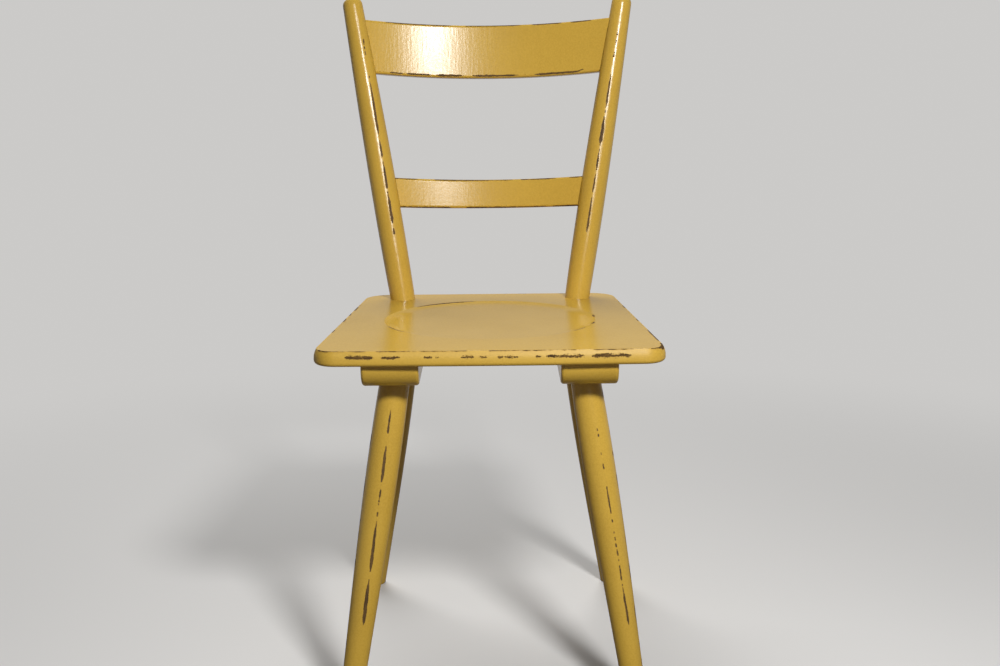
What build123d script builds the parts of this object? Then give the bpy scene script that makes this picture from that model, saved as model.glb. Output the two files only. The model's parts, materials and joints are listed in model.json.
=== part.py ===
from build123d import *
import math
import os

os.makedirs("parts", exist_ok=True)

# Turned board chair. Millimetres, +Z up from the floor, the front faces -Y, left is -X.
# "Depth" runs back from the seat's front edge.
# At the back, a setback lies in front of the seat's rear edge and an overhang behind it.

# Seat board
SEAT_HEIGHT = 455.0
SEAT_THICKNESS = 19.0
SEAT_DEPTH = 420.0
SEAT_FRONT_WIDTH = 432.0
SEAT_REAR_WIDTH = 358.0
SEAT_FRONT_BOW = 4.0
SEAT_FRONT_CORNER_RADIUS = 28.0
SEAT_REAR_CORNER_RADIUS = 38.0
SEAT_EDGE_RUN = 3.5
SEAT_EDGE_FALL = 7.0
SEAT_NOSE_RADIUS = 22.0
SEAT_UNDER_RADIUS = 5.0

# Round dish turned into the seat
DISH_DIAMETER = 280.0
DISH_CENTRE_DEPTH = 215.0
DISH_RIM_WIDTH = 13.0
DISH_RIM_FALL = 2.6
DISH_FLOOR_FALL = 4.4

# Battens with a dovetail tongue
BATTEN_SPACING = 242.0
BATTEN_WIDTH = 70.0
BATTEN_THICKNESS = 30.0
BATTEN_FRONT_SETBACK = 12.5
BATTEN_REAR_SETBACK = 14.0
BATTEN_EDGE_RADIUS = 4.0
BATTEN_END_RADIUS = 26.0
TONGUE_HEIGHT = 6.5
TONGUE_NECK_WIDTH = 44.0
TONGUE_TOP_WIDTH = 51.0
TONGUE_FRONT_STOP = 20.0

# Legs
LEG_TOP_SPACING = 237.0
LEG_FRONT_TOP_DEPTH = 75.0
LEG_FRONT_FOOT_DEPTH = 15.0
LEG_REAR_TOP_SETBACK = 79.0
LEG_REAR_FOOT_OVERHANG = 32.0
FOOT_SPACING = 360.0
LEG_SHOULDER_DIAMETER = 37.0
LEG_BELLY_DIAMETER = 40.2
LEG_BELLY_DROP = 100.0
LEG_SHIN_DIAMETER = 35.0
LEG_SHIN_RISE = 140.0
LEG_FOOT_DIAMETER = 27.5
FOOT_EDGE_RADIUS = 2.0
LEG_TENON_DIAMETER = 26.0

# Back posts
BACK_HEIGHT = 425.0
POST_BASE_SPACING = 251.0
POST_TOP_SPACING = 388.0
POST_BASE_SETBACK = 38.0
POST_TOP_OVERHANG = 29.0
POST_BASE_DIAMETER = 35.0
POST_BELLY_DIAMETER = 37.5
POST_BELLY_RISE = 120.0
POST_NECK_DIAMETER = 32.6
POST_NECK_DROP = 105.0
POST_TIP_DIAMETER = 28.2
POST_DOME_HEIGHT = 11.0
POST_TENON_DIAMETER = 23.0

# Curved rails
RAIL_BEND_RADIUS = 450.0
RAIL_EDGE_RADIUS = 3.5
CREST_DROP = 30.0
CREST_WIDTH = 75.3
CREST_BOW = 5.0
CREST_DIP = 4.2
CREST_THICKNESS = 16.0
LOWER_RAIL_RISE = 130.2
LOWER_RAIL_WIDTH = 42.8
LOWER_RAIL_BOW = 1.5
LOWER_RAIL_DIP = 3.4
LOWER_RAIL_THICKNESS = 14.0
RAIL_TENON_THICKNESS = 9.0
RAIL_TENON_SHOULDER = 6.0
RAIL_TENON_REACH = 8.0

# Wedges and pegs
WEDGE_LENGTH = 24.0
WEDGE_BUTT_THICKNESS = 5.0
WEDGE_TIP_THICKNESS = 1.2
PEG_DIAMETER = 6.0
PEG_REACH = 9.0

# Clearances
GLUE_GAP = 0.1
SCRIBE_GAP = 0.15
SLIDE_GAP = 0.15

# Extra length of blanks and cutters, trimmed away or outside the wood
TRIM = 30.0
# Largest share of the seat edge's upright that one rounding may take
ROUNDING_SHARE = 0.48

# Levels
seat_underside = SEAT_HEIGHT - SEAT_THICKNESS
batten_underside = seat_underside - BATTEN_THICKNESS
tongue_top = seat_underside + TONGUE_HEIGHT

# The back leans by this rake. Distances "up the slope" run from the seat's top along the back.
post_base_depth = SEAT_DEPTH - POST_BASE_SETBACK
rake = math.atan2(POST_BASE_SETBACK + POST_TOP_OVERHANG, BACK_HEIGHT)
slope_length = BACK_HEIGHT / math.cos(rake)


def post_half_span(slope):
    """Half distance between the post axes, so far up the slope of the back."""
    flare = (POST_TOP_SPACING - POST_BASE_SPACING) / 2 / slope_length
    return POST_BASE_SPACING / 2 + flare * slope


def bend_centre(slope):
    """Distance from the back plane forward to the axis of a rail's bend, so far up the slope."""
    return math.sqrt(RAIL_BEND_RADIUS**2 - post_half_span(slope) ** 2)


# The origin lies on the floor, midway between the seat's front edge and the back of the crest rail.
crest_top = slope_length - CREST_DROP / math.cos(rake)
crest_back = RAIL_BEND_RADIUS - bend_centre(crest_top - CREST_WIDTH / 2) + CREST_THICKNESS / 2
crest_run_back = (crest_back - RAIL_EDGE_RADIUS) * math.cos(rake)
crest_run_up = (crest_top - CREST_DIP - RAIL_EDGE_RADIUS) * math.sin(rake)
overall_depth = post_base_depth + crest_run_back + crest_run_up + RAIL_EDGE_RADIUS


def y_at(depth):
    """Y of a place so far behind the seat's front edge."""
    return depth - overall_depth / 2


# Back plane: both post axes lie in it. Its local x is X, its z runs up the slope, its y to the rear.
back_plane = Plane(
    origin=(0, y_at(post_base_depth), SEAT_HEIGHT),
    x_dir=(1, 0, 0),
    z_dir=(0, math.sin(rake), math.cos(rake)),
)


def turned(outline):
    """Solid of revolution about Z from radius, height curves that close on the axis."""
    return revolve(make_face([Plane.XZ * edge for edge in outline]), Axis.Z)


def round_bar(diameter, start, end):
    """Round bar along Z from one height to another."""
    return Pos(0, 0, (start + end) / 2) * Cylinder(diameter / 2, abs(end - start))


def upper_part(solid, height):
    """What lies above a level."""
    return split(solid, bisect_by=Plane.XY.offset(height), keep=Keep.TOP)


def lower_part(solid, height):
    """What lies below a level."""
    return split(solid, bisect_by=Plane.XY.offset(height), keep=Keep.BOTTOM)


def mirrored(solid):
    """The left-hand twin of a right-hand piece."""
    return mirror(solid, about=Plane.YZ)


# Places of the turned pieces on the right-hand side
def axis_plane(low, high):
    """Plane at the low point with its z along the line to the high point, its x close to X."""
    return Plane(origin=low, x_dir=(1, 0, 0), z_dir=Vector(*high) - Vector(*low))


def leg_plane(top_depth, foot_depth):
    """Leg axis, from the centre of the foot on the floor."""
    foot = (FOOT_SPACING / 2, y_at(foot_depth), 0)
    top = (LEG_TOP_SPACING / 2, y_at(top_depth), batten_underside)
    return axis_plane(foot, top)


post_base = (POST_BASE_SPACING / 2, y_at(post_base_depth), SEAT_HEIGHT)
post_top = (POST_TOP_SPACING / 2, y_at(SEAT_DEPTH + POST_TOP_OVERHANG), SEAT_HEIGHT + BACK_HEIGHT)
post_plane = axis_plane(post_base, post_top)
post_length = (Vector(*post_top) - Vector(*post_base)).length
leg_planes = {
    "front": leg_plane(LEG_FRONT_TOP_DEPTH, LEG_FRONT_FOOT_DEPTH),
    "rear": leg_plane(SEAT_DEPTH - LEG_REAR_TOP_SETBACK, SEAT_DEPTH + LEG_REAR_FOOT_OVERHANG),
}


def along(plane, level):
    """Distance along a leaning axis from its origin to a level."""
    return (level - plane.origin.Z) / plane.z_dir.Z


# Wedges
def wedge_blank(end, inward, diameter):
    """Tapered slip with its butt at the tenon's end, wide across the batten's grain."""
    taper = (WEDGE_BUTT_THICKNESS - WEDGE_TIP_THICKNESS) / WEDGE_LENGTH
    tip = end + inward * WEDGE_LENGTH
    butt = end - inward * TRIM
    butt_half = (WEDGE_BUTT_THICKNESS + taper * TRIM) / 2
    tip_half = WEDGE_TIP_THICKNESS / 2
    side = Polyline((-butt_half, butt), (butt_half, butt), (tip_half, tip), (-tip_half, tip), close=True)
    return extrude(make_face(Plane.YZ * side), diameter, both=True)


# Legs
def leg_blank(plane):
    """Turned spindle with a belly under the shoulder, longer than the finished leg at both ends."""
    shoulder = along(plane, batten_underside)
    belly = along(plane, batten_underside - LEG_BELLY_DROP)
    shin = along(plane, LEG_SHIN_RISE)
    swell = Spline(
        (LEG_FOOT_DIAMETER / 2, 0),
        (LEG_SHIN_DIAMETER / 2, shin),
        (LEG_BELLY_DIAMETER / 2, belly),
        (LEG_SHOULDER_DIAMETER / 2, shoulder),
    )
    foot_run = swell % 0
    top_run = swell % 1
    low = swell @ 0 - foot_run * (TRIM / foot_run.Y)
    high = swell @ 1 + top_run * (TRIM / top_run.Y)
    ends = Polyline(high, (0, high.Y), (0, low.Y), low)
    return turned([Line(low, swell @ 0), swell, Line(swell @ 1, high), ends])


def leg_and_wedge(plane):
    """A leg cut to the floor and the batten, with its wedged tenon, and the wedge."""
    shoulder = along(plane, batten_underside)
    end = along(plane, tongue_top)
    shank = lower_part(upper_part(plane * leg_blank(plane), 0), batten_underside)
    foot_edge = shank.faces().sort_by(Axis.Z)[0].edges()
    shank = fillet(foot_edge, FOOT_EDGE_RADIUS)
    tenon = lower_part(plane * round_bar(LEG_TENON_DIAMETER, shoulder - TRIM, end + TRIM), tongue_top)
    slip = plane * wedge_blank(end, -1, LEG_TENON_DIAMETER)
    return shank + tenon - slip, slip & tenon


# Back posts
def post_blank(gap=0.0):
    """Turned post with a domed tip, its foot running on below the seat's top."""
    tip = post_length - POST_DOME_HEIGHT
    neck = along(post_plane, SEAT_HEIGHT + BACK_HEIGHT - POST_NECK_DROP)
    belly = along(post_plane, SEAT_HEIGHT + POST_BELLY_RISE)
    swell = Spline(
        (POST_BASE_DIAMETER / 2 + gap, 0),
        (POST_BELLY_DIAMETER / 2 + gap, belly),
        (POST_NECK_DIAMETER / 2 + gap, neck),
        (POST_TIP_DIAMETER / 2 + gap, tip),
    )
    crown = (0, post_length + gap)
    dome = Spline(swell @ 1, crown, tangents=(swell % 1, (-1, 0)))
    foot_run = swell % 0
    low = swell @ 0 - foot_run * (TRIM / foot_run.Y)
    ends = Polyline(crown, (0, low.Y), low)
    return post_plane * turned([Line(low, swell @ 0), swell, dome, ends])


def post_and_wedge(blank, cutters):
    """A post shouldered on the seat, with its wedged tenon, mortises and peg holes, and the wedge."""
    end = along(post_plane, batten_underside)
    tenon = upper_part(post_plane * round_bar(POST_TENON_DIAMETER, end - TRIM, TRIM), batten_underside)
    slip = post_plane * wedge_blank(end, 1, POST_TENON_DIAMETER)
    post = upper_part(blank, SEAT_HEIGHT) + tenon - slip
    for cutter in cutters:
        post = post - cutter
    return post, slip & tenon


# Curved rails, in the back plane's own x, y and z
class RailPlace:
    """Where a rail runs up the slope of the back. Both its long edges sag between the posts."""

    def __init__(self, bottom, width, thickness, bow, dip):
        self.bottom = bottom
        self.top = bottom + width
        self.middle = bottom + width / 2
        self.thickness = thickness
        self.bow = bow
        self.dip = dip
        self.half_span = post_half_span(self.middle)
        self.reach = post_half_span(self.top) + TRIM


crest_place = RailPlace(crest_top - CREST_WIDTH, CREST_WIDTH, CREST_THICKNESS, CREST_BOW, CREST_DIP)
lower_place = RailPlace(
    LOWER_RAIL_RISE / math.cos(rake),
    LOWER_RAIL_WIDTH,
    LOWER_RAIL_THICKNESS,
    LOWER_RAIL_BOW,
    LOWER_RAIL_DIP,
)


def bent_band(place, thickness, bottom, top):
    """Bent board whose middle surface passes through both post axes at the rail's middle."""
    ring = Circle(RAIL_BEND_RADIUS + thickness / 2) - Circle(RAIL_BEND_RADIUS - thickness / 2)
    window = Rectangle(2 * place.reach, 2 * RAIL_BEND_RADIUS, align=(Align.CENTER, Align.MIN))
    return Pos(0, -bend_centre(place.middle), bottom) * extrude(ring & window, top - bottom)


def between_posts(bottom, top, overreach):
    """Prism through the back that ends a little past, or at, the two post axes."""
    low = post_half_span(bottom) + overreach
    high = post_half_span(top) + overreach
    front = Polyline((-low, bottom), (low, bottom), (high, top), (-high, top), close=True)
    return extrude(make_face(Plane.XZ * front), RAIL_BEND_RADIUS, both=True)


def sagging_edge(place, level, sag):
    """Arc across the back that meets a level at the post axes and sags below it halfway between."""
    radius = (place.half_span**2 + sag**2) / (2 * sag)
    lowest = level - sag
    corner = lowest + radius - math.sqrt(radius**2 - place.reach**2)
    return ThreePointArc((-place.reach, corner), (0, lowest), (place.reach, corner))


def bowed_front(place):
    """Prism of a rail's front view, with the bow in its lower edge and the dip in its upper edge."""
    lower = sagging_edge(place, place.bottom, place.bow)
    upper = sagging_edge(place, place.top, place.dip)
    outline = [lower, Line(lower @ 1, upper @ 1), upper, Line(upper @ 0, lower @ 0)]
    return extrude(make_face([Plane.XZ * edge for edge in outline]), RAIL_BEND_RADIUS, both=True)


def rail_tenons(place, gap=0.0):
    """The thin core of a rail that runs on into both posts; with a gap, the mortises for it."""
    bottom = place.bottom + RAIL_TENON_SHOULDER - gap
    top = place.top - RAIL_TENON_SHOULDER + gap
    core = bent_band(place, RAIL_TENON_THICKNESS + 2 * gap, bottom, top)
    return back_plane * (core & between_posts(bottom, top, RAIL_TENON_REACH + gap))


def peg_bore(place, diameter):
    """Round bar from the rear, ending blind in front of the right post's axis."""
    bar = Rot(-90, 0, 0) * round_bar(diameter, -PEG_REACH, TRIM)
    return back_plane * (Pos(place.half_span, 0, place.middle) * bar)


def bent_rail(place, posts, bores):
    """A rail with eased edges, scribed to the posts, with its tenons bored for the pegs."""
    board = bent_band(place, place.thickness, place.bottom - TRIM, place.top + TRIM) & bowed_front(place)
    long_edges = board.edges().filter_by(lambda edge: edge.length > place.half_span)
    board = fillet(long_edges, RAIL_EDGE_RADIUS)
    board = board & between_posts(place.bottom - TRIM, place.top + TRIM, 0)
    rail = back_plane * board
    for post in posts:
        rail = rail - post
    rail = rail + rail_tenons(place)
    for bore in bores:
        rail = rail - bore
    return rail


# Battens and seat
def dovetail(gap, front_depth, rear_depth, low, high):
    """Dovetail prism under the right side of the seat, between two depths and two levels."""
    flare = (TONGUE_TOP_WIDTH - TONGUE_NECK_WIDTH) / 2 / TONGUE_HEIGHT
    neck = TONGUE_NECK_WIDTH / 2 + gap + flare * (low - seat_underside)
    head = TONGUE_NECK_WIDTH / 2 + gap + flare * (high - seat_underside)
    section = Polyline((-neck, low), (neck, low), (head, high), (-head, high), close=True)
    prism = extrude(make_face(Plane.XZ * section), -(rear_depth - front_depth))
    return Pos(BATTEN_SPACING / 2, y_at(front_depth), 0) * prism


def batten():
    """Right batten with its tongue, bored for the leg and post tenons."""
    front = BATTEN_FRONT_SETBACK
    rear = SEAT_DEPTH - BATTEN_REAR_SETBACK
    side = Pos((y_at(front) + y_at(rear)) / 2, batten_underside + BATTEN_THICKNESS / 2)
    side = side * Rectangle(rear - front, BATTEN_THICKNESS)
    end_radius = min(BATTEN_END_RADIUS, BATTEN_THICKNESS - BATTEN_EDGE_RADIUS)
    side = fillet(side.vertices().group_by(Axis.Y)[0], end_radius)
    body = Pos(BATTEN_SPACING / 2, 0, 0) * extrude(Plane.YZ * side, BATTEN_WIDTH / 2, both=True)
    long_sides = body.faces().filter_by(Axis.X).edges()
    body = fillet(long_sides - long_sides.group_by(Axis.Z)[-1], BATTEN_EDGE_RADIUS)
    tongue_rear = rear - BATTEN_EDGE_RADIUS
    body = body + dovetail(0, front + TONGUE_FRONT_STOP, tongue_rear, seat_underside, tongue_top)
    bore = LEG_TENON_DIAMETER + 2 * GLUE_GAP
    for plane in leg_planes.values():
        shoulder = along(plane, batten_underside)
        body = body - plane * round_bar(bore, shoulder - TRIM, shoulder + BATTEN_THICKNESS + TRIM)
    return body - post_tenon_bore()


def post_tenon_bore():
    """Leaning hole for the right post's tenon."""
    bore = POST_TENON_DIAMETER + 2 * GLUE_GAP
    return post_plane * round_bar(bore, along(post_plane, batten_underside) - TRIM, TRIM)


def dish():
    """Everything above the turned hollow: a gentle floor and a steeper cove up to a crisp rim."""
    radius = DISH_DIAMETER / 2
    floor = TangentArc((0, -DISH_FLOOR_FALL), (radius - DISH_RIM_WIDTH, -DISH_RIM_FALL), tangent=(1, 0))
    cove = TangentArc(floor @ 1, (radius, 0), tangent=floor % 1)
    lid = Polyline((radius, 0), (radius, TRIM), (0, TRIM), (0, -DISH_FLOOR_FALL))
    return Pos(0, y_at(DISH_CENTRE_DEPTH), SEAT_HEIGHT) * turned([floor, cove, lid])


def seat_blank():
    """Trapezoid board with a bowed front, round corners, an arris round the top and a rounded nose."""
    front, rear = y_at(0), y_at(SEAT_DEPTH)
    wide, narrow = SEAT_FRONT_WIDTH / 2, SEAT_REAR_WIDTH / 2
    corner = front + SEAT_FRONT_BOW
    bowed_edge = ThreePointArc((-wide, corner), (0, front), (wide, corner))
    other_edges = Polyline((wide, corner), (narrow, rear), (-narrow, rear), (-wide, corner))
    plan = make_face([bowed_edge, other_edges])
    plan = fillet(plan.vertices().group_by(Axis.Y)[0], SEAT_FRONT_CORNER_RADIUS)
    plan = fillet(plan.vertices().group_by(Axis.Y)[-1], SEAT_REAR_CORNER_RADIUS)
    board = Pos(0, 0, seat_underside) * extrude(plan, SEAT_THICKNESS)
    top = board.faces().sort_by(Axis.Z)[-1]
    board = chamfer(top.edges(), SEAT_EDGE_RUN, SEAT_EDGE_FALL, reference=top)
    upright = SEAT_THICKNESS - SEAT_EDGE_FALL
    nose_run = math.tan(math.atan2(SEAT_EDGE_RUN, SEAT_EDGE_FALL) / 2)
    nose_radius = min(SEAT_NOSE_RADIUS, ROUNDING_SHARE * upright / nose_run)
    under_radius = min(SEAT_UNDER_RADIUS, ROUNDING_SHARE * upright)
    nose_level = SEAT_HEIGHT - SEAT_EDGE_FALL
    nose = board.edges().filter_by_position(Axis.Z, nose_level - GLUE_GAP, nose_level + GLUE_GAP)
    board = fillet(nose, nose_radius)
    return fillet(board.faces().sort_by(Axis.Z)[0].edges(), under_radius)


def seat_board():
    """Seat with its dish, the battens' grooves and the holes for the post tenons."""
    start = BATTEN_FRONT_SETBACK + TONGUE_FRONT_STOP - SLIDE_GAP
    mouth = seat_underside - BATTEN_EDGE_RADIUS
    groove = dovetail(SLIDE_GAP, start, SEAT_DEPTH + TRIM, mouth, tongue_top + SLIDE_GAP)
    board = seat_blank() - dish()
    for cutter in (groove, post_tenon_bore()):
        board = board - cutter - mirrored(cutter)
    return board


# Assembly
parts = {"seat_board": seat_board()}


def add_pair(name, right):
    """Files a right-hand piece and its left-hand twin."""
    parts[f"{name}_right"] = right
    parts[f"{name}_left"] = mirrored(right)


add_pair("batten", batten())
for row, plane in leg_planes.items():
    leg, wedge = leg_and_wedge(plane)
    add_pair(f"leg_{row}", leg)
    add_pair(f"leg_wedge_{row}", wedge)

blank = post_blank()
scribe = post_blank(SCRIBE_GAP)
rails = {"crest": ("crest_rail", crest_place), "lower_rail": ("lower_rail", lower_place)}
cutters = []
for name, (node, place) in rails.items():
    hole = peg_bore(place, PEG_DIAMETER + 2 * GLUE_GAP)
    cutters += [rail_tenons(place, GLUE_GAP), hole]
    parts[node] = bent_rail(place, (scribe, mirrored(scribe)), (hole, mirrored(hole)))
    add_pair(f"{name}_peg", peg_bore(place, PEG_DIAMETER) & blank)

post, wedge = post_and_wedge(blank, cutters)
add_pair("back_post", post)
add_pair("post_wedge", wedge)

for node, solid in parts.items():
    export_step(solid, f"parts/{node}.step")
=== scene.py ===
"""Finishes, stage and camera for a turned board chair in worn satin paint."""

import json
import math
from functools import cached_property

import bmesh
import bpy
from bpy.props import FloatProperty, FloatVectorProperty, PointerProperty
from bpy.types import Operator, Panel, PropertyGroup
from mathutils import Matrix, Vector


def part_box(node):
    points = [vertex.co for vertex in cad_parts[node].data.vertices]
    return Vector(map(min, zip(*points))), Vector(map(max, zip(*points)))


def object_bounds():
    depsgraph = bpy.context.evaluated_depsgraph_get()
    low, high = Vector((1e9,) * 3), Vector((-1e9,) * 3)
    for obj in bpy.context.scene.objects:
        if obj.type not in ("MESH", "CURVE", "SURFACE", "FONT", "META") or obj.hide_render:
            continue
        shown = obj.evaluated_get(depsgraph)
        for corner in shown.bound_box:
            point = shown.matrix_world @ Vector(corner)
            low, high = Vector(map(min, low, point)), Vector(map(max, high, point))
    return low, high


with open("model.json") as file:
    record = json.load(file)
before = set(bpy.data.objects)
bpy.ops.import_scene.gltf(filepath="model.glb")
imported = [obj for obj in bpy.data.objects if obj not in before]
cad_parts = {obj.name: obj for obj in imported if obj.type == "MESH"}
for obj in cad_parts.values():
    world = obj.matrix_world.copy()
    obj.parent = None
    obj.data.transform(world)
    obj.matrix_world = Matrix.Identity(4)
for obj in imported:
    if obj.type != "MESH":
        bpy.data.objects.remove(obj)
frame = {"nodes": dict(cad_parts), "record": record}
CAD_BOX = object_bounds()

bl_info = {
    "name": "Worn Board Chair",
    "version": (1, 0, 0),
    "blender": (4, 5, 0),
    "location": "View3D > Sidebar > Chair",
    "description": "Dresses a turned board chair in brushed satin paint with worn edges",
    "category": "Object",
}

# Lengths in this file are metres, and the marks of wear are written in millimetres.
MM = 0.001
SLOT_COLOURS = {slot["slot"]: slot["base_color"][:3] for slot in frame["record"]["materials"]}

TURNED_LEGS = ("leg_front_left", "leg_front_right", "leg_rear_left", "leg_rear_right")
TURNED_POSTS = ("back_post_left", "back_post_right")
BATTENS = ("batten_left", "batten_right")
WEDGES = tuple(name for name in sorted(frame["nodes"]) if "wedge" in name)
PEGS = tuple(name for name in sorted(frame["nodes"]) if "peg" in name)

# Levels between which a turned piece's axis is measured
LEG_LEVELS = (0.03, 0.38)
POST_LEVELS = (0.48, 0.85)
SLAB = 0.012
# Radius, middle and length of a turned piece, near enough for the drift of a streak, in millimetres
TURNED_RADIUS = 18.0
TURNED_MIDDLE = 200.0
TURNED_LENGTH = 400.0
# How far to the front of the axis a mark on one side comes in
FACING_FADE = 0.004

# A colour ramp holds 32 stops, four for each mark
RAMP_MARKS = 8
# Share of its size that a mark still has where its end begins to taper
TAIL = 0.85
# Depth that counts as well outside a worn mark, in millimetres
OUTSIDE = 6.0
# Sizes between which a worn mark comes in, in millimetres
COMES_IN = (0.1, 0.9)
# Width of the dotted line that joins the streaks and the length over which it ends, in millimetres
HAIRLINE = 1.1
HAIRLINE_FADE = 5.0
# Taper of a streak's marks at their lower and upper end, and how far their edges are torn
STREAK_TAPER = (0.15, 0.35)
STREAK_TORN = 0.8
# Size of the dashes on other sides, and how far a streak wanders, in millimetres
DASH_SIZE = 3.2
WANDER = 1.2
DASH_WANDER = 3.0
# Distance between the dashes of two seeds
SEED_STEP = 10
# How far a torn edge strays, in millimetres
TEAR = 2.6
FINE_TEAR = 1.6
# How deep chips go, in millimetres, and how steeply they end above an edge
CHIP_DEPTH = 12.0
CHIP_SLOPE = 2.0

# Noises on a surface: blobs to the metre, detail and roughness
TEAR_NOISE = (420, 3.0, 0.6)
FINE_TEAR_NOISE = (1300, 2.0, 0.5)
CHIP_NOISE = (130, 3.0, 0.6)
FLECK_NOISE = (700, 3.0, 0.7)
BRUSH_NOISE = (240, 3.0, 0.6)
PEEL_NOISE = (300, 2.0, 0.45)
CLOUD_NOISE = (11, 3.0, 0.55)
SPECKLE_NOISE = (430, 3.0, 0.75)
FIBRE_NOISE = (800, 4.0, 0.7)
PATCH_NOISE = (300, 3.0, 0.5)
# Pace of some of them along the grain or the brush strokes, as a share of the pace across
TEAR_SHARE = 0.3
FINE_TEAR_SHARE = 0.5
BRUSH_SHARE = 0.14
FIBRE_SHARE = 0.06
# Noises along a line: blobs to the millimetre and detail
WANDER_NOISE = (0.03, 2.0)
ARRIS_NOISE = (0.03, 3.0)
SCATTER_NOISE = (0.035, 2.0)
DOT_NOISE = (0.14, 1.0)
# Middle of a noise, and the levels between which marks come in
MEAN = 0.5
SCATTER_LEVELS = (0.48, 0.68)
DOT_LEVELS = (0.5, 0.62)

# Worn depths between which the paint gives way to wood, and between which it thins, in millimetres
WORN_DEPTHS = (-0.15, 0.3)
THIN_DEPTHS = (-1.1, 0.1)
THIN_SHARE = 0.45
# Shares of clouds, brush marks and speckle in the deep colour, with the levels they come in at
CLOUD_LEVELS = (0.3, 0.75)
CLOUD_SHADE = 0.4
BRUSH_SHADE = 0.3
SPECKLE_LEVELS = (0.3, 0.7)
SPECKLE_SHADE = 0.65
SHADE_DROP = 0.4
# Levels between which the wood's grain lines come in
FIBRE_LEVELS = (0.36, 0.66)
# Roughness from orange peel and clouds, and the share of it that the gloss setting holds already
PEEL_DULL = 0.08
CLOUD_DULL = 0.06
DULL_HELD = 0.07

# Worn streaks along the turned pieces: from, to and width, in millimetres from the lower end
LEFT_LEG_STREAKS = (
    (104, 169, 4.8),
    (172, 244, 3.8),
    (261, 265, 2.2),
    (267, 279, 2.2),
    (285, 337, 3.6),
    (346, 381, 2.6),
)
RIGHT_LEG_STREAKS = (
    (99, 156, 3.0),
    (157, 179, 2.2),
    (189, 198, 2.2),
    (200, 207, 2.2),
    (232, 237, 2.0),
    (246, 279, 2.1),
    (299, 304, 2.0),
    (340, 345, 1.8),
    (347, 352, 1.8),
)
LEFT_POST_STREAKS = (
    (92, 103, 3.0),
    (107, 157, 4.0),
    (154, 199, 3.4),
    (202, 232, 2.8),
    (233, 320, 3.5),
    (353, 357, 1.8),
    (359, 364, 1.8),
    (368, 375, 2.6),
)
RIGHT_POST_STREAKS = (
    (91, 151, 2.8),
    (152, 180, 2.6),
    (184, 212, 2.8),
    (219, 263, 4.6),
    (274, 327, 2.8),
    (345, 350, 2.0),
    (376, 382, 2.0),
)

# Worn patches along the seat's front nose: from, to and height, in millimetres from the middle
NOSE_PATCHES = (
    (-174, -136, 5.4),
    (-131, -106, 3.6),
    (-79, -68, 2.8),
    (-65, -60, 2.0),
    (-35, -18, 3.2),
    (-13, -2, 2.0),
    (8, 36, 2.8),
    (55, 62, 2.0),
    (66, 116, 4.2),
    (121, 171, 5.8),
)
# Worn stretches of the seat's right and left side, in millimetres back from the middle
RIGHT_SIDE_MARKS = (
    (-231, -203, 4.2),
    (-199, -112, 2.4),
    (-60, -38, 1.8),
    (40, 66, 2.0),
)
LEFT_SIDE_MARKS = (
    (-120, -96, 1.8),
    (-46, -18, 2.8),
    (2, 20, 2.4),
    (38, 74, 3.0),
)
# Worn arcs on the dish's rim: from, to and width, in degrees from the front and millimetres
RIM_ARCS = (
    (-173, -131, 2.8),
    (-71, -49, 2.8),
    (49, 62, 3.2),
    (72, 78, 4.0),
    (93, 99, 3.2),
)
# Worn lines along the crest rail's lower and upper edge, in millimetres from the middle
CREST_LOW_LINES = (
    (-143, -119, 1.8),
    (-121, -77, 2.4),
    (-79, -33, 3.0),
    (-27, 50, 2.8),
    (63, 143, 2.8),
)
CREST_TOP_LINES = (
    (-156, -40, 1.9),
    (-44, 62, 1.7),
    (58, 112, 2.0),
    (118, 152, 2.6),
)


class Wire:
    """A socket of a finish. Arithmetic on it adds Math nodes."""

    def __init__(self, finish, socket):
        self.finish = finish
        self.socket = socket

    def math(self, operation, *others):
        return self.finish.math(operation, self, *others)

    def __add__(self, other):
        return self.math("ADD", other)

    def __radd__(self, other):
        return self.finish.math("ADD", other, self)

    def __sub__(self, other):
        return self.math("SUBTRACT", other)

    def __rsub__(self, other):
        return self.finish.math("SUBTRACT", other, self)

    def __mul__(self, other):
        return self.math("MULTIPLY", other)

    def __rmul__(self, other):
        return self.finish.math("MULTIPLY", other, self)

    def __truediv__(self, other):
        return self.math("DIVIDE", other)

    def __abs__(self):
        return self.math("ABSOLUTE")

    def rise(self, low, high):
        """Smooth step from 0 at low to 1 at high."""
        return self.finish.node(
            "ShaderNodeMapRange",
            {"interpolation_type": "SMOOTHSTEP"},
            {"Value": self, "From Min": low, "From Max": high},
        )


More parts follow.
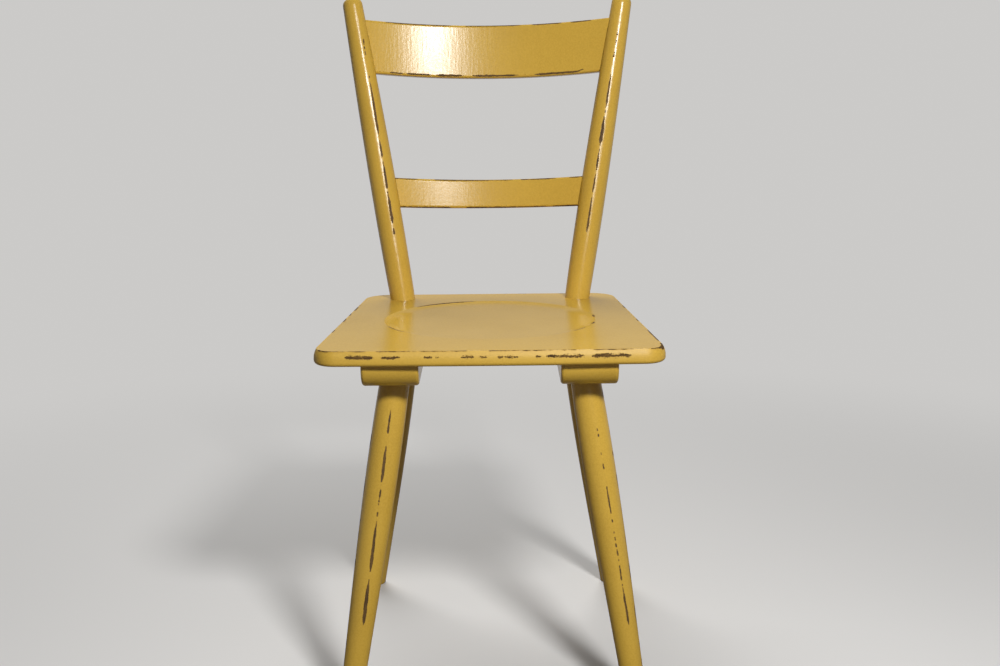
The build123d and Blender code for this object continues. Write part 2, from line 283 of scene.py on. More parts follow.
class Finish:
    """The nodes of a material or a world, all added by one method."""

    # A colour Mix node's two inputs and its output
    COLOUR_SOCKETS = (6, 7)
    COLOUR_OUTPUT = 2

    def __init__(self, owner):
        owner.use_nodes = True
        self.owner = owner
        self.tree = owner.node_tree
        self.tree.nodes.clear()

    @classmethod
    def named(cls, name):
        """Finish of a new material."""
        return cls(bpy.data.materials.new(name))

    @cached_property
    def place(self):
        """Surface point in the object's coordinates."""
        return self.node("ShaderNodeTexCoord", output="Object")

    def node(self, kind, settings=None, inputs=(), output=0):
        """Adds a node, makes its settings, sets or links its inputs and gives one of its outputs."""
        node = self.tree.nodes.new(kind)
        for key, value in (settings or {}).items():
            if key == "stops":
                self.set_stops(node.color_ramp.elements, value)
            else:
                setattr(node, key, value)
        pairs = inputs.items() if isinstance(inputs, dict) else enumerate(inputs)
        for key, value in pairs:
            if isinstance(value, Wire):
                self.tree.links.new(value.socket, node.inputs[key])
            else:
                node.inputs[key].default_value = value
        return Wire(self, node.outputs[output]) if node.outputs else None

    @staticmethod
    def set_stops(elements, stops):
        """Grey levels at places from 0 to 1."""
        while len(elements) > 1:
            elements.remove(elements[-1])
        for index, (place, level) in enumerate(stops):
            stop = elements[0] if index == 0 else elements.new(place)
            stop.position = place
            stop.color = (level, level, level, 1)

    def math(self, operation, *values):
        return self.node("ShaderNodeMath", {"operation": operation}, values)

    def largest(self, first, *others):
        for other in others:
            first = first.math("MAXIMUM", other)
        return first

    def vector(self, operation, *values):
        output = "Value" if operation in ("DOT_PRODUCT", "LENGTH") else "Vector"
        return self.node("ShaderNodeVectorMath", {"operation": operation}, values, output)

    def along(self, direction, origin=(0, 0, 0)):
        """Distance of a surface point from an origin, measured along a direction."""
        offset = self.vector("SUBTRACT", self.place, tuple(origin))
        return self.vector("DOT_PRODUCT", offset, tuple(direction))

    def combined(self, x, y, z):
        return self.node("ShaderNodeCombineXYZ", None, (x, y, z))

    def strands(self, direction):
        """Coordinates whose third axis runs along a direction."""
        turn = Vector(direction).to_track_quat("Z", "Y").to_matrix()
        return self.combined(*(self.along(axis) for axis in turn.col))

    def drawn_out(self, strands, share):
        """Strand coordinates in which a pattern is longer along the strands by one over the share."""
        return self.vector("MULTIPLY", strands, (1, 1, share))

    def noise(self, where, scale, detail, roughness):
        """Noise from 0 to 1, with so many blobs to the metre."""
        inputs = {"Vector": where, "Scale": scale, "Detail": detail, "Roughness": roughness}
        return self.node("ShaderNodeTexNoise", None, inputs)

    def line_noise(self, where, scale, detail):
        """Noise from 0 to 1 along one distance."""
        inputs = {"W": where, "Scale": scale, "Detail": detail}
        return self.node("ShaderNodeTexNoise", {"noise_dimensions": "1D"}, inputs)

    def mixed(self, mask, low, high):
        """Colour that goes from low to high with the mask."""
        inputs = {0: mask}
        for socket, colour in zip(self.COLOUR_SOCKETS, (low, high)):
            inputs[socket] = colour if isinstance(colour, Wire) else (*colour, 1)
        return self.node("ShaderNodeMix", {"data_type": "RGBA"}, inputs, self.COLOUR_OUTPUT)

    def close(self, shader, output="ShaderNodeOutputMaterial"):
        self.node(output, None, {"Surface": shader})
        return self.owner


class ChairPaint(PropertyGroup):
    """Colours and surface of the paint and of the bare wood under it."""

    colour: FloatVectorProperty(
        name="Paint", description="Colour of the paint", subtype="COLOR", min=0, max=1,
        default=SLOT_COLOURS["painted_wood"],
    )
    deep: FloatVectorProperty(
        name="Deep paint", description="Colour where the paint lies thicker", subtype="COLOR", min=0, max=1,
        default=(0.47, 0.285, 0.036),
    )
    thin: FloatVectorProperty(
        name="Thin paint", description="Colour where the paint is nearly worn through", subtype="COLOR",
        min=0, max=1, default=(0.38, 0.21, 0.035),
    )
    bare: FloatVectorProperty(
        name="Bare wood", description="Colour of the wood where the paint is worn away", subtype="COLOR",
        min=0, max=1, default=(0.135, 0.072, 0.016),
    )
    grain: FloatVectorProperty(
        name="Wood grain", description="Colour of the grain lines in the bare wood", subtype="COLOR",
        min=0, max=1, default=(0.032, 0.015, 0.004),
    )
    gloss: FloatProperty(
        name="Gloss roughness", description="Roughness of the paint", default=0.235, min=0, max=1,
    )
    reflection: FloatProperty(
        name="Reflection", description="Strength of the paint's reflection", default=0.28, min=0, max=1,
    )
    dry: FloatProperty(
        name="Dry wood", description="Roughness of the bare wood", default=0.72, min=0, max=1,
    )
    brush_depth: FloatProperty(
        name="Brush marks", description="Depth of the brush marks", default=0.12 * MM, unit="LENGTH",
    )
    peel_depth: FloatProperty(
        name="Orange peel", description="Depth of the paint's fine dimples", default=0.07 * MM,
        unit="LENGTH",
    )
    film: FloatProperty(
        name="Paint film", description="Thickness of the paint at a worn edge", default=0.25 * MM,
        unit="LENGTH",
    )


class ChairStage(PropertyGroup):
    """Floor, light and camera."""

    floor: FloatVectorProperty(
        name="Floor", description="Colour of the floor", subtype="COLOR", min=0, max=1,
        default=(0.66, 0.65, 0.635),
    )
    bounce: FloatVectorProperty(
        name="Bounce", description="Colour of the light that the floor throws back", subtype="COLOR",
        min=0, max=1, default=(0.25, 0.23, 0.20),
    )
    backdrop: FloatVectorProperty(
        name="Backdrop", description="Colour behind the chair", subtype="COLOR", min=0, max=1,
        default=(0.60, 0.592, 0.58),
    )
    mirrored: FloatProperty(
        name="Mirrored backdrop", description="Share of the backdrop's light that the gloss shows",
        default=0.76, min=0, max=1, subtype="FACTOR",
    )
    key_place: FloatVectorProperty(
        name="Key light", description="Place of the key light", subtype="TRANSLATION", unit="LENGTH",
        default=(0.515, -1.48, 1.44),
    )
    key_size: FloatProperty(
        name="Key size", description="Diameter of the key light", default=0.30, unit="LENGTH",
    )
    key_power: FloatProperty(
        name="Key power", description="Power of the key light", default=34.0, unit="POWER",
    )
    back_place: FloatVectorProperty(
        name="Back light", description="Place of the soft light behind", subtype="TRANSLATION",
        unit="LENGTH", default=(-0.4, 1.4, 2.4),
    )
    back_size: FloatProperty(
        name="Back size", description="Diameter of the soft light behind", default=1.7, unit="LENGTH",
    )
    back_power: FloatProperty(
        name="Back power", description="Power of the soft light behind", default=46.0, unit="POWER",
    )
    card_place: FloatVectorProperty(
        name="Card", description="Place of the card that only the gloss shows", subtype="TRANSLATION",
        unit="LENGTH", default=(0.42, -1.65, 1.10),
    )
    card_size: FloatProperty(
        name="Card size", description="Diameter of the card", default=0.3, unit="LENGTH",
    )
    card_power: FloatProperty(
        name="Card power", description="Power of the card", default=10.0, unit="POWER",
    )
    fill: FloatProperty(
        name="Fill", description="Strength of the soft light from all round", default=0.065,
    )
    camera_place: FloatVectorProperty(
        name="Camera", description="Place of the camera", subtype="TRANSLATION", unit="LENGTH",
        default=(0.0065, -1.9957, 0.8151),
    )
    camera_pitch: FloatProperty(
        name="Pitch", description="How far the camera looks down", default=math.radians(10.93),
        unit="ROTATION",
    )
    camera_yaw: FloatProperty(
        name="Yaw", description="How far the camera looks to the right", default=math.radians(0.2),
        unit="ROTATION",
    )
    camera_roll: FloatProperty(
        name="Roll", description="How far the camera leans", default=math.radians(-0.52), unit="ROTATION",
    )
    camera_lens: FloatProperty(
        name="Lens", description="Focal length on a 36 mm wide sensor, in millimetres", default=54.0,
    )


class TurnedPlace:
    """The leaning axis of a turned piece, with directions across it and to its front."""

    def __init__(self, node, levels):
        points = frame["nodes"][node].data.vertices
        low, high = (self.centre([v.co for v in points if abs(v.co.z - level) < SLAB]) for level in levels)
        self.axis = (high - low).normalized()
        self.across = (Vector((1, 0, 0)) - self.axis * self.axis.x).normalized()
        self.front = self.across.cross(self.axis)
        self.low = low

    @staticmethod
    def centre(points):
        sides = [(min(p[i] for p in points) + max(p[i] for p in points)) / 2 for i in range(3)]
        return Vector(sides)

    def at_level(self, level):
        """The axis point at a level."""
        return self.low + self.axis * ((level - self.low.z) / self.axis.z)


def stops_from(marks, start, span, largest, taper):
    """Ramp stops for marks that swell from nothing and taper off again."""
    stops = []
    for low, high, size in marks:
        length = high - low
        level = size / largest
        swell, fade = (length * share for share in taper)
        stops += [(low, 0), (low + swell, level), (high - fade, level * TAIL), (high, 0)]
    return [((place - start) / span, level) for place, level in stops]


def mark_size(finish, distance, marks, taper=(0.2, 0.2), slack=2.0):
    """Size of the marks at a distance, in millimetres, both being millimetres."""
    start = marks[0][0] - slack
    span = marks[-1][1] + slack - start
    largest = max(mark[2] for mark in marks)
    share = (distance - start) / span
    ramps = []
    for first in range(0, len(marks), RAMP_MARKS):
        stops = stops_from(marks[first:first + RAMP_MARKS], start, span, largest, taper)
        ramps.append(finish.node("ShaderNodeValToRGB", {"stops": stops}, (share,)))
    return finish.largest(*ramps) * largest


def scattered_size(finish, distance, size):
    """Size of marks scattered along a distance, in millimetres, both being millimetres."""
    return finish.line_noise(distance, *SCATTER_NOISE).rise(*SCATTER_LEVELS) * size


def torn(finish, grain):
    """Unevenness of a worn edge in millimetres, drawn out along the grain."""
    coarse = finish.noise(finish.drawn_out(grain, TEAR_SHARE), *TEAR_NOISE) - MEAN
    fine = finish.noise(finish.drawn_out(grain, FINE_TEAR_SHARE), *FINE_TEAR_NOISE) - MEAN
    return coarse * TEAR + fine * FINE_TEAR


def worn_line(size, offset, uneven):
    """Depth inside a line of wear about its middle, in millimetres. It is below zero outside the line."""
    present = size.rise(*COMES_IN)
    return size / 2 - abs(offset) + uneven * present - (1 - present) * OUTSIDE


def only(depth, mask):
    """Keeps a worn depth where the mask is one."""
    return depth - (1 - mask) * OUTSIDE


def turned_line(finish, place, foot, turn, drift=0.0):
    """Place along and beside a line on a turned piece, in millimetres, and a mask of the side it is on.

    The line lies so many degrees round from the front, and drifts round by so many over its length."""
    turned = math.radians(turn)
    out = place.front * math.cos(turned) + place.across * math.sin(turned)
    side = place.across * math.cos(turned) - place.front * math.sin(turned)
    up = finish.along(place.axis, foot) / MM
    skew = math.radians(drift) * TURNED_RADIUS / TURNED_LENGTH
    beside = finish.along(side, foot) / MM - (up - TURNED_MIDDLE) * skew
    return up, beside, finish.along(out, foot).rise(0, FACING_FADE)


def streak(finish, place, foot, uneven, turn, drift, marks):
    """Worn streak of given marks along the front of a turned piece."""
    up, beside, facing = turned_line(finish, place, foot, turn, drift)
    wander = (finish.line_noise(up, *WANDER_NOISE) - MEAN) * WANDER
    start, end = marks[0][0], marks[-1][1]
    dots = finish.line_noise(up, *DOT_NOISE).rise(*DOT_LEVELS) * HAIRLINE
    dots = dots * up.rise(start, start + HAIRLINE_FADE) * (1 - up.rise(end - HAIRLINE_FADE, end))
    size = finish.largest(mark_size(finish, up, marks, STREAK_TAPER), dots)
    return only(worn_line(size, beside + wander, uneven * STREAK_TORN), facing)


def loose_streak(finish, place, foot, uneven, turn, seed):
    """Streak of scattered dashes on another side of a turned piece."""
    up, beside, facing = turned_line(finish, place, foot, turn)
    wander = (finish.line_noise(up + seed, *WANDER_NOISE) - MEAN) * DASH_WANDER
    size = scattered_size(finish, up + SEED_STEP * seed, DASH_SIZE)
    return only(worn_line(size, beside + wander, uneven), facing)


def chipped(finish, height, reach, amount):
    """Worn depth of a chipped edge that fades out over a reach above it, all in millimetres."""
    chips = finish.noise(finish.place, *CHIP_NOISE)
    return (chips - (1 - amount)) * CHIP_DEPTH - height * (CHIP_SLOPE / reach)


def painted(finish, paint, depth, grain, strokes=None, brushed=0.5, rubbed=0.0):
    """Brushed satin paint, duller where it is rubbed and bare wood where the worn depth is above zero."""
    strokes = strokes or grain
    streaks = finish.noise(finish.drawn_out(strokes, BRUSH_SHARE), *BRUSH_NOISE)
    peel = finish.noise(finish.place, *PEEL_NOISE)
    cloud = finish.noise(finish.place, *CLOUD_NOISE)
    speckle = finish.noise(finish.place, *SPECKLE_NOISE)
    fibres = finish.noise(finish.drawn_out(grain, FIBRE_SHARE), *FIBRE_NOISE)
    worn = depth.rise(*WORN_DEPTHS)
    thin = depth.rise(*THIN_DEPTHS) * THIN_SHARE
    shade = cloud.rise(*CLOUD_LEVELS) * CLOUD_SHADE + streaks * BRUSH_SHADE
    shade = shade + speckle.rise(*SPECKLE_LEVELS) * SPECKLE_SHADE - SHADE_DROP
    coat = finish.mixed(shade, tuple(paint.colour), tuple(paint.deep))
    coat = finish.mixed(thin, coat, tuple(paint.thin))
    wood = finish.mixed(fibres.rise(*FIBRE_LEVELS), tuple(paint.bare), tuple(paint.grain))
    satin = peel * PEEL_DULL + cloud * CLOUD_DULL + rubbed + (paint.gloss - DULL_HELD)
    height = streaks * (paint.brush_depth * brushed) + peel * paint.peel_depth - worn * paint.film
    bump = finish.node("ShaderNodeBump", None, {"Strength": 1.0, "Distance": 1.0, "Height": height})
    shader = finish.node(
        "ShaderNodeBsdfPrincipled",
        None,
        {
            "Base Color": finish.mixed(worn, coat, wood),
            "Roughness": worn * (paint.dry - paint.gloss) + satin,
            "Specular IOR Level": paint.reflection,
            "Normal": bump,
        },
    )
    return finish.close(shader)


def wear(node, material):
    """Puts a finish on a carried-over node."""
    slots = frame["nodes"][node].material_slots
    if not slots:
        raise RuntimeError(f"{node} has no material slot")
    for slot in slots:
        slot.material = material


class CHAIR_OT_seat(Operator):
    """Paints the seat board, worn along its nose, its arris and the rim of its dish"""

    bl_idname = "chair.seat"
    bl_label = "Seat Board"

    # Outline and dish of the board, in millimetres
    FRONT_HALF = 216.0
    REAR_HALF = 179.0
    FRONT_BOW = 4.0
    FRONT_CORNER = 28.0
    REAR_CORNER = 38.0
    EDGE_RUN = 3.5
    DISH_CENTRE = 215.0
    DISH_RADIUS = 140.0
    # How far below the top the nose's patches lie, and over what distance they end behind the arris
    NOSE_DROP = 7.2
    NOSE_FADE = 3.0
    # Taper of the nose's patches, the share of their height that is bare, their torn edges and flecks
    NOSE_TAPER = (0.1, 0.15)
    NOSE_SHARE = 0.75
    NOSE_TORN = 2.2
    NOSE_FLECKS = 5.0
    # Zones at the front and rear of the board, back from its front edge
    FRONT_ZONE = (12, 20)
    REAR_ZONE = (300, 340)
    # Line along the arris: levels of noise, width at front and rear, place in from the edge, torn edges
    ARRIS_LEVELS = (0.2, 0.6)
    ARRIS_FRONT = 1.2
    ARRIS_REAR = 1.4
    ARRIS_INSET = 0.3
    ARRIS_TORN = 0.6
    # Drops from the top over which the arris' and the rim's wear end
    ARRIS_DROPS = (4, 6)
    RIM_DROPS = (4, 5)
    # How much duller hands have rubbed the edge, and how far in that fades
    RUBBED = 0.24
    RUBBED_FADE = (3.0, 5.5)
    # Strength of the brush marks
    BRUSHED = 0.35

    def execute(self, context):
        finish = Finish.named("seat_paint")
        grain = finish.strands((1, 0, 0))
        uneven = torn(finish, grain)
        low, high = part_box("seat_board")
        x = finish.along((1, 0, 0)) / MM
        y = finish.along((0, 1, 0)) / MM
        depth = finish.along((0, 1, 0), low) / MM
        drop = finish.along((0, 0, -1), high) / MM
        front = depth - x * x * (self.FRONT_BOW / self.FRONT_HALF**2)
        edge = self.edge_distance(finish, x, depth, front, (high.y - low.y) / MM)
        worn = finish.largest(
            self.nose(finish, x, front, drop, uneven),
            self.arris(finish, x, y, front, edge, drop, uneven),
            self.rim(finish, x, depth, drop, uneven),
        )
        rubbed = (1 - edge.rise(*self.RUBBED_FADE)) * self.RUBBED
        paint = context.scene.chair_paint
        wear("seat_board", painted(finish, paint, worn, grain, brushed=self.BRUSHED, rubbed=rubbed))
        return {"FINISHED"}

    def edge_distance(self, finish, x, depth, front, length):
        """Distance in from the board's outline, in millimetres."""
        taper = (self.FRONT_HALF - self.REAR_HALF) / length
        side = (self.FRONT_HALF - depth * taper - abs(x)) * math.cos(math.atan(taper))
        front_corners = self.round_corner(finish, side, front, self.FRONT_CORNER)
        rear_corners = self.round_corner(finish, side, length - depth, self.REAR_CORNER)
        return front_corners.math("MINIMUM", rear_corners)

    @staticmethod
    def round_corner(finish, side, end, radius):
        """Distance in from two edges that meet in a round corner, up to its radius."""
        beyond = [(radius - distance).math("MAXIMUM", 0) for distance in (side, end)]
        return radius - finish.vector("LENGTH", finish.combined(*beyond, 0))

    def nose(self, finish, x, front, drop, uneven):
        size = mark_size(finish, x, NOSE_PATCHES, self.NOSE_TAPER) * self.NOSE_SHARE
        flecks = (finish.noise(finish.place, *FLECK_NOISE) - MEAN) * self.NOSE_FLECKS
        patches = worn_line(size, drop - self.NOSE_DROP, uneven * self.NOSE_TORN + flecks)
        return only(patches, 1 - front.rise(self.EDGE_RUN, self.EDGE_RUN + self.NOSE_FADE))

    def arris(self, finish, x, y, front, edge, drop, uneven):
        right = x.rise(0, 1)
        line = finish.line_noise(x, *ARRIS_NOISE).rise(*self.ARRIS_LEVELS) * self.ARRIS_FRONT
        front_size = line * (1 - front.rise(*self.FRONT_ZONE))
        right_size = mark_size(finish, y, RIGHT_SIDE_MARKS) * right
        left_size = mark_size(finish, y, LEFT_SIDE_MARKS) * (1 - right)
        rear_size = scattered_size(finish, x + y, self.ARRIS_REAR) * front.rise(*self.REAR_ZONE)
        size = finish.largest(front_size, right_size, left_size, rear_size)
        line = worn_line(size, edge - (self.EDGE_RUN + self.ARRIS_INSET), uneven * self.ARRIS_TORN)
        return only(line, 1 - drop.rise(*self.ARRIS_DROPS))

    def rim(self, finish, x, depth, drop, uneven):
        forward = self.DISH_CENTRE - depth
        radius = finish.vector("LENGTH", finish.combined(x, forward, 0))
        turn = finish.math("ARCTAN2", x, forward) * math.degrees(1)
        arcs = worn_line(mark_size(finish, turn, RIM_ARCS), radius - self.DISH_RADIUS, uneven)
        return only(arcs, 1 - drop.rise(*self.RIM_DROPS))


class CHAIR_OT_battens(Operator):
    """Paints the two battens under the seat, chipped along their lower edges"""

    bl_idname = "chair.battens"
    bl_label = "Battens"

    # How far from the lower edges chips reach, in millimetres, and how many there are
    CHIPS = (4.0, 0.36)

    def execute(self, context):
        for node in BATTENS:
            finish = Finish.named(f"{node}_paint")
            grain = finish.strands((0, 1, 0))
            low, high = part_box(node)
            side = (high.x - low.x) / 2 / MM
            inward = side - abs(finish.along((1, 0, 0), (low + high) / 2) / MM)
            rise = finish.along((0, 0, 1), low) / MM
            worn = chipped(finish, inward.math("MAXIMUM", rise), *self.CHIPS)
            wear(node, painted(finish, context.scene.chair_paint, worn, grain))
        return {"FINISHED"}


class CHAIR_OT_legs(Operator):
    """Paints the four turned legs, worn in streaks and chipped at their feet"""

    bl_idname = "chair.legs"
    bl_label = "Legs"

    # Degrees round from the front, drift round towards the top, and marks
    FRONT = {
        "leg_front_left": (8.0, -10.0, LEFT_LEG_STREAKS),
        "leg_front_right": (15.0, -13.0, RIGHT_LEG_STREAKS),
    }
    # Degrees round from the front of the streaks on the other sides, and on the front of the rear legs
    SIDES = {"left": (118, 205, 286), "right": (74, 155, 242)}
    REAR_FRONT = 5
    # Seeds that make each leg's dashes differ
    SIDE_SEED = 31
    REAR_SEED = 17
    # How far up the feet chips reach, in millimetres, and how many there are
    CHIPS = (3.0, 0.48)

    def execute(self, context):
        for seed, node in enumerate(TURNED_LEGS, 1):
            finish = Finish.named(f"{node}_paint")
            place = TurnedPlace(node, LEG_LEVELS)
            foot = place.at_level(0)
            grain = finish.strands(place.axis)
            uneven = torn(finish, grain)
            sides = self.SIDES["left" if node.endswith("left") else "right"]
            marks = [
                loose_streak(finish, place, foot, uneven, turn, seed * self.SIDE_SEED + turn)
                for turn in sides
            ]
            if node in self.FRONT:
                marks.append(streak(finish, place, foot, uneven, *self.FRONT[node]))
            else:
                rear_seed = seed * self.REAR_SEED
                marks.append(loose_streak(finish, place, foot, uneven, self.REAR_FRONT, rear_seed))
            marks.append(chipped(finish, finish.along((0, 0, 1)) / MM, *self.CHIPS))
            wear(node, painted(finish, context.scene.chair_paint, finish.largest(*marks), grain))
        return {"FINISHED"}


class CHAIR_OT_posts(Operator):
    """Paints the two back posts, worn in streaks"""

    bl_idname = "chair.posts"
    bl_label = "Back Posts"

    # Degrees round from the front, drift round towards the top, and marks
    FRONT = {
        "back_post_left": (18.5, 20.0, LEFT_POST_STREAKS),
        "back_post_right": (-2.5, 4.0, RIGHT_POST_STREAKS),
    }
    # Degrees round from the front of the streaks on the other sides
    SIDES = {"back_post_left": (168, 262), "back_post_right": (100, 192)}
    # Seed that makes each post's dashes differ
    SIDE_SEED = 47
    # Strength of the brush marks
    BRUSHED = 1.6

    def execute(self, context):
        seat_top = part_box("seat_board")[1].z
        for seed, node in enumerate(TURNED_POSTS, 1):
            finish = Finish.named(f"{node}_paint")
            place = TurnedPlace(node, POST_LEVELS)
            foot = place.at_level(seat_top)
            grain = finish.strands(place.axis)
            uneven = torn(finish, grain)
            marks = [
                loose_streak(finish, place, foot, uneven, turn, seed * self.SIDE_SEED + turn)
                for turn in self.SIDES[node]
            ]
            marks.append(streak(finish, place, foot, uneven, *self.FRONT[node]))
            worn = finish.largest(*marks)
            wear(node, painted(finish, context.scene.chair_paint, worn, grain, brushed=self.BRUSHED))
        return {"FINISHED"}


class CHAIR_OT_rails(Operator):
    """Paints the crest rail and the lower rail, worn along their edges, with painted shade along the lower
    rail's bottom edge
    """

    bl_idname = "chair.rails"
    bl_label = "Rails"

    # The back's height and how far it runs to the rear over that, in millimetres, which give its lean
    BACK_HEIGHT = 425.0
    BACK_RUN = 67.0
    RAKE = math.atan2(BACK_RUN, BACK_HEIGHT)
    # The back's foot in front of the seat's rear edge
    POST_SETBACK = 0.038
    # Places up the slope of the back and sag of the edges, in millimetres, and strength of the brush marks
    CREST = {"bottom": 324.6, "top": 399.9, "bow": 5.0, "dip": 4.2, "half_span": 183.2, "brushed": 1.0}
    LOWER = {"bottom": 131.8, "top": 174.6, "bow": 1.5, "dip": 3.4, "half_span": 149.9, "brushed": 0.8}
    # How far in from an edge its worn line lies, which along the lower rail's bottom edge is also painted
    # shade, and how far the crest's lower edge is worn
    INSET = 0.9
    CREST_INSET = 3.0
    # Where the crest's lower line turns up at its right end, and how far
    UPTURN = (126.0, 143.0)
    UPTURN_RISE = 3.2
    # Lines along the lower rail in the bare wood's colour: levels of noise, and each edge's seed and width
    # in millimetres. The bottom edge's line is partly wear and partly painted shade under that edge
    LINE_LEVELS = (0.25, 0.6)
    LOW_WEAR_AND_SHADE_LINE = (31, 1.7)
    TOP_LINE = (77, 1.6)
    # How far the edges of the lower and upper lines are torn
    LOW_TORN = 0.8
    TOP_TORN = 0.5

    def execute(self, context):
        self.rail(context, "crest_rail", self.CREST)
        self.rail(context, "lower_rail", self.LOWER)
        return {"FINISHED"}

    def line_size(self, finish, x, seed, width):
        """Width of an uneven line along an edge of the lower rail, in millimetres."""
        return finish.line_noise(x + seed, *WANDER_NOISE).rise(*self.LINE_LEVELS) * width

    def rail(self, context, node, size):
        finish = Finish.named(f"{node}_paint")
        grain = finish.strands((1, 0, 0))
        uneven = torn(finish, grain)
        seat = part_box("seat_board")[1]
        base = Vector((0, seat.y - self.POST_SETBACK, seat.z))
        up = Vector((0, math.sin(self.RAKE), math.cos(self.RAKE)))
        x = finish.along((1, 0, 0)) / MM
        slope = finish.along(up, base) / MM
        bowed = x * x * (size["bow"] / size["half_span"] ** 2) + (size["bottom"] - size["bow"])
        dipped = x * x * (size["dip"] / size["half_span"] ** 2) + (size["top"] - size["dip"])
        above = slope - bowed
        below = dipped - slope
        if node == "crest_rail":
            low_size = mark_size(finish, x, CREST_LOW_LINES)
            top_size = mark_size(finish, x, CREST_TOP_LINES)
            above = above - (x.rise(*self.UPTURN) * self.UPTURN_RISE + self.CREST_INSET)
        else:
            # The lower rail's bottom line is partly wear and partly painted shade under that edge
            low_size = self.line_size(finish, x, *self.LOW_WEAR_AND_SHADE_LINE)
            top_size = self.line_size(finish, x, *self.TOP_LINE)
            above = above - self.INSET
        # Line along the lower edge: wear, and on the lower rail also painted shade
        low_wear_and_shade = worn_line(low_size, above, uneven * self.LOW_TORN)
        top_worn = worn_line(top_size, below - self.INSET, uneven * self.TOP_TORN)
        strokes = finish.strands(up)
        worn = finish.largest(low_wear_and_shade, top_worn)
        wear(node, painted(finish, context.scene.chair_paint, worn, grain, strokes, size["brushed"]))


class CHAIR_OT_joinery(Operator):
    """Finishes the wedges as bare wood and paints over the pegs"""

    bl_idname = "chair.joinery"
    bl_label = "Wedges and Pegs"

    # Share of each piece's paint that is gone, and how deep it is worn there, in millimetres
    WEAR = {"wedge_wood": (WEDGES, 0.9), "peg_paint": (PEGS, 0.42)}
    WORN_DEPTH = 10.0

    def execute(self, context):
        for name, (nodes, amount) in self.WEAR.items():
            finish = Finish.named(name)
            grain = finish.strands((1, 0, 0))
            worn = (finish.noise(finish.place, *PATCH_NOISE) - (1 - amount)) * self.WORN_DEPTH
            material = painted(finish, context.scene.chair_paint, worn, grain)
            for node in nodes:
                wear(node, material)
        return {"FINISHED"}


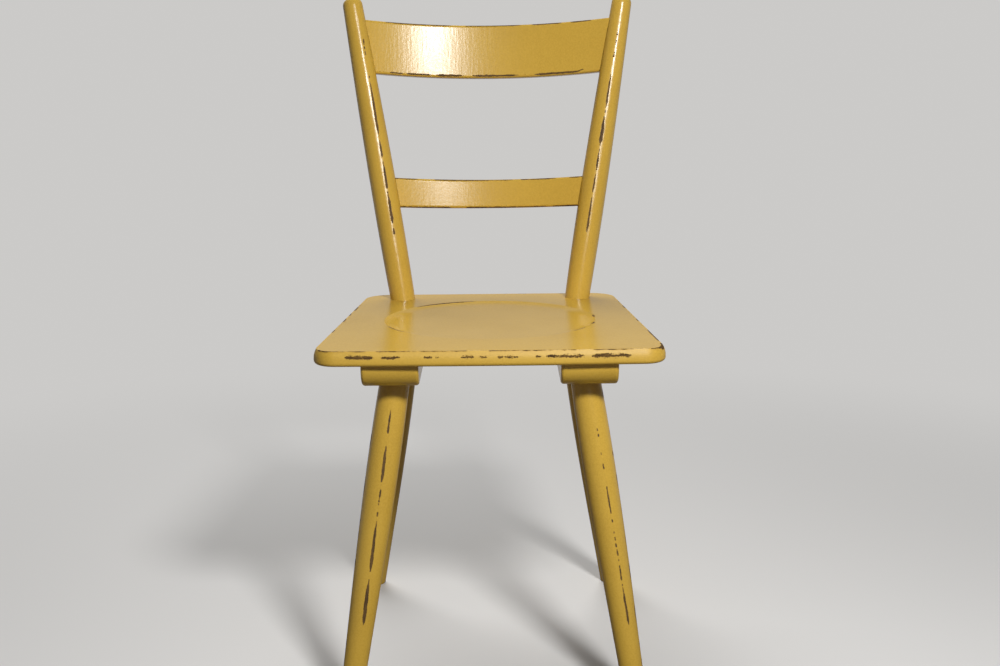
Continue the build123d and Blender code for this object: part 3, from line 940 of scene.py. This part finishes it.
class CHAIR_OT_stage(Operator):
    """Makes the floor, the light and the camera"""

    bl_idname = "chair.stage"
    bl_label = "Floor, Light and Camera"

    FLOOR_RADIUS = 14.0
    FLOOR_SIDES = 96
    # Distances from the chair between which the floor turns into the backdrop
    FLOOR_FADE = (0.5, 1.9)
    # Width of the camera's sensor, in millimetres
    SENSOR_WIDTH = 36.0

    def execute(self, context):
        stage = context.scene.chair_stage
        self.floor(context, stage)
        self.lamp(context, "key", stage.key_place, stage.key_size, stage.key_power)
        back = self.lamp(context, "back", stage.back_place, stage.back_size, stage.back_power)
        back.visible_glossy = False
        card = self.lamp(context, "card", stage.card_place, stage.card_size, stage.card_power)
        card.visible_diffuse = False
        self.world(context, stage)
        self.camera(context, stage)
        context.scene.view_settings.view_transform = "Standard"
        return {"FINISHED"}

    def floor(self, context, stage):
        mesh = bmesh.new()
        bmesh.ops.create_circle(mesh, cap_ends=True, radius=self.FLOOR_RADIUS, segments=self.FLOOR_SIDES)
        data = bpy.data.meshes.new("floor")
        mesh.to_mesh(data)
        mesh.free()
        floor = bpy.data.objects.new("floor", data)
        context.scene.collection.objects.link(floor)
        data.materials.append(self.floor_finish(stage))

    def floor_finish(self, stage):
        """Pale floor that turns into the backdrop further out, and is clear from below."""
        finish = Finish.named("floor_pale")
        far = finish.vector("LENGTH", finish.place).rise(*self.FLOOR_FADE)
        seen = finish.node("ShaderNodeLightPath", output="Is Camera Ray")
        glossy = finish.node("ShaderNodeLightPath", output="Is Glossy Ray")
        under = finish.node("ShaderNodeNewGeometry", output="Backfacing")
        pale = finish.node("ShaderNodeBsdfDiffuse", None, {"Color": (*stage.floor, 1)})
        bounce = finish.node("ShaderNodeBsdfDiffuse", None, {"Color": (*stage.bounce, 1)})
        backdrop = finish.node("ShaderNodeEmission", None, {"Color": (*stage.backdrop, 1)})
        clear = finish.node("ShaderNodeBsdfTransparent")
        near = finish.node("ShaderNodeMixShader", None, (seen, bounce, pale))
        fade = far * finish.largest(seen, glossy)
        upper = finish.node("ShaderNodeMixShader", None, (fade, near, backdrop))
        return finish.close(finish.node("ShaderNodeMixShader", None, (under, upper, clear)))

    def lamp(self, context, name, place, size, power):
        """Round soft lamp that shines on the chair and isn't seen itself."""
        data = bpy.data.lights.new(name, "AREA")
        data.shape = "DISK"
        data.size = size
        data.energy = power
        lamp = bpy.data.objects.new(name, data)
        lamp.location = place
        aim = Vector((0, 0, (CAD_BOX[0].z + CAD_BOX[1].z) / 2))
        lamp.rotation_mode = "QUATERNION"
        lamp.rotation_quaternion = (aim - lamp.location).to_track_quat("-Z", "Y")
        lamp.visible_camera = False
        context.scene.collection.objects.link(lamp)
        return lamp

    def world(self, context, stage):
        """Soft fill, with the backdrop where it is seen or mirrored."""
        finish = Finish(bpy.data.worlds.new("studio"))
        seen = finish.node("ShaderNodeLightPath", output="Is Camera Ray")
        glossy = finish.node("ShaderNodeLightPath", output="Is Glossy Ray")
        white, backdrop = (1, 1, 1, 1), (*stage.backdrop, 1)
        fill = finish.node("ShaderNodeBackground", None, (white, stage.fill))
        mirrored = finish.node("ShaderNodeBackground", None, (backdrop, stage.mirrored))
        pale = finish.node("ShaderNodeBackground", None, (backdrop,))
        unseen = finish.node("ShaderNodeMixShader", None, (glossy, fill, mirrored))
        mixed = finish.node("ShaderNodeMixShader", None, (seen, unseen, pale))
        context.scene.world = finish.close(mixed, "ShaderNodeOutputWorld")

    def camera(self, context, stage):
        data = bpy.data.cameras.new("camera")
        data.sensor_fit = "HORIZONTAL"
        data.sensor_width = self.SENSOR_WIDTH
        data.lens = stage.camera_lens
        camera = bpy.data.objects.new("camera", data)
        turn = Matrix.Rotation(-stage.camera_yaw, 4, "Z")
        tip = Matrix.Rotation(math.pi / 2 - stage.camera_pitch, 4, "X")
        lean = Matrix.Rotation(stage.camera_roll, 4, "Z")
        camera.matrix_world = Matrix.Translation(stage.camera_place) @ turn @ tip @ lean
        context.scene.collection.objects.link(camera)
        context.scene.camera = camera


PIECES = (
    CHAIR_OT_seat,
    CHAIR_OT_battens,
    CHAIR_OT_legs,
    CHAIR_OT_posts,
    CHAIR_OT_rails,
    CHAIR_OT_joinery,
    CHAIR_OT_stage,
)


class CHAIR_PT_sidebar(Panel):
    """Lists the pieces and their settings in the sidebar"""

    bl_idname = "CHAIR_PT_sidebar"
    bl_label = "Worn Board Chair"
    bl_space_type = "VIEW_3D"
    bl_region_type = "UI"
    bl_category = "Chair"

    def draw(self, context):
        for settings in (context.scene.chair_paint, context.scene.chair_stage):
            box = self.layout.box()
            for name in settings.__annotations__:
                box.prop(settings, name)
        for piece in PIECES:
            self.layout.operator(piece.bl_idname)


CLASSES = (ChairPaint, ChairStage, *PIECES, CHAIR_PT_sidebar)


def register():
    for kind in CLASSES:
        bpy.utils.register_class(kind)
    bpy.types.Scene.chair_paint = PointerProperty(type=ChairPaint)
    bpy.types.Scene.chair_stage = PointerProperty(type=ChairStage)


def unregister():
    del bpy.types.Scene.chair_stage
    del bpy.types.Scene.chair_paint
    for kind in reversed(CLASSES):
        bpy.utils.unregister_class(kind)


def main():
    register()
    bpy.ops.chair.seat()
    bpy.ops.chair.battens()
    bpy.ops.chair.legs()
    bpy.ops.chair.posts()
    bpy.ops.chair.rails()
    bpy.ops.chair.joinery()
    bpy.ops.chair.stage()


if __name__ == "__main__":
    main()
